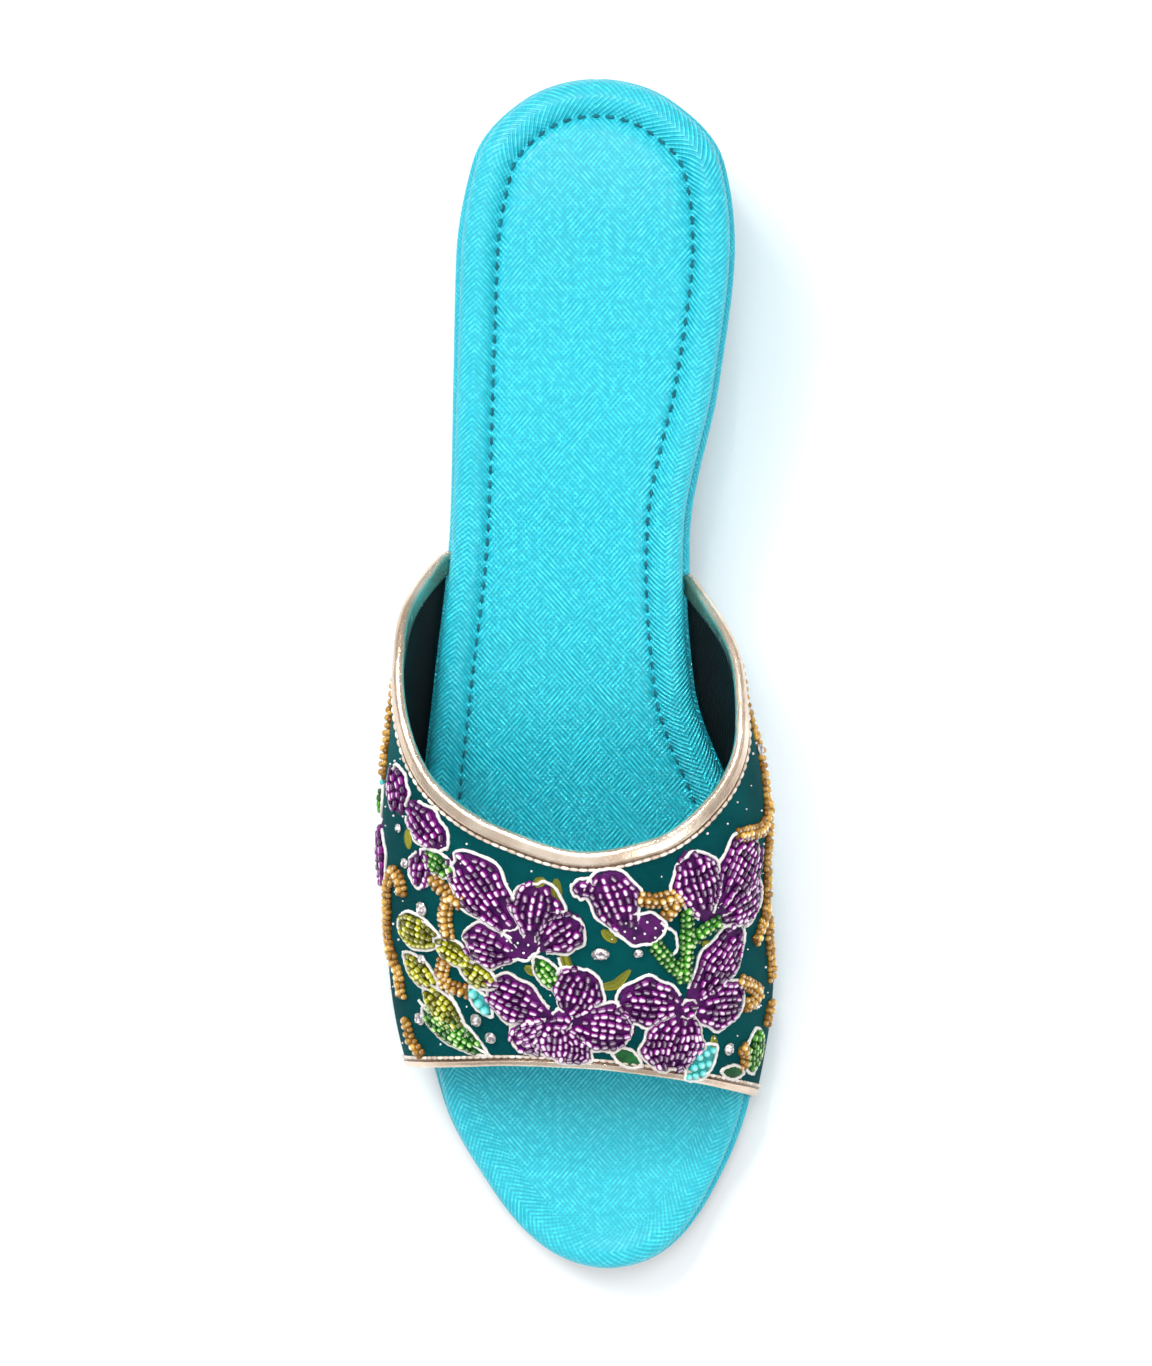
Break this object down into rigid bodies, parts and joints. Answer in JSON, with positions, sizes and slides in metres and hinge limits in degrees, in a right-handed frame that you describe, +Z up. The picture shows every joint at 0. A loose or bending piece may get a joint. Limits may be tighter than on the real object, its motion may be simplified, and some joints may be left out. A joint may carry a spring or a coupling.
{
  "type": "wedge mule",
  "caption": "Right-foot open-toe wedge mule: padded leather footbed on a covered wedge, under a wide velvet vamp with raised beaded orchids and bound edges.",
  "frame": {"origin": "on the floor, at the middle of the bounding box's bottom", "axes": "+Z up; +Y towards the heel and -Y towards the toe; +X towards the inner side of the right foot"},
  "size_m": [0.0856, 0.2514, 0.0646],
  "materials": {
    "sole_rubber": "matt",
    "turquoise_leather": "satin, cross-hatch grain",
    "velvet": "velvet pile",
    "metallic_leather": "metallic, champagne gold",
    "purple_beads": "glossy beads",
    "olive_beads": "glossy beads",
    "green_beads": "glossy beads",
    "aqua_beads": "pearl beads",
    "amber_beads": "metallic beads"
  },
  "bodies": {
    "root": {"outsole": "sole_rubber", "wedge": "turquoise_leather", "footbed": "turquoise_leather", "upper": "velvet", "collar_binding": "metallic_leather", "toe_binding": "metallic_leather", "orchid_middle": "purple_beads", "orchid_front": "purple_beads", "orchid_inner": "purple_beads", "orchid_funnel": "purple_beads", "orchid_bud": "purple_beads", "orchid_outer": "purple_beads", "orchid_edge": "purple_beads", "leaf_olive_long": "olive_beads", "leaf_olive_short": "olive_beads", "leaf_green": "green_beads", "leaf_small": "green_beads", "leaf_inner": "green_beads", "sprig": "green_beads", "pearl_patch": "aqua_beads", "twig_collar": "amber_beads", "twig_short": "amber_beads", "twig_low": "amber_beads", "twig_tip": "amber_beads", "twig_outer": "amber_beads", "twig_outer_high": "amber_beads", "twig_inner": "amber_beads"}
  },
  "joints": []
}
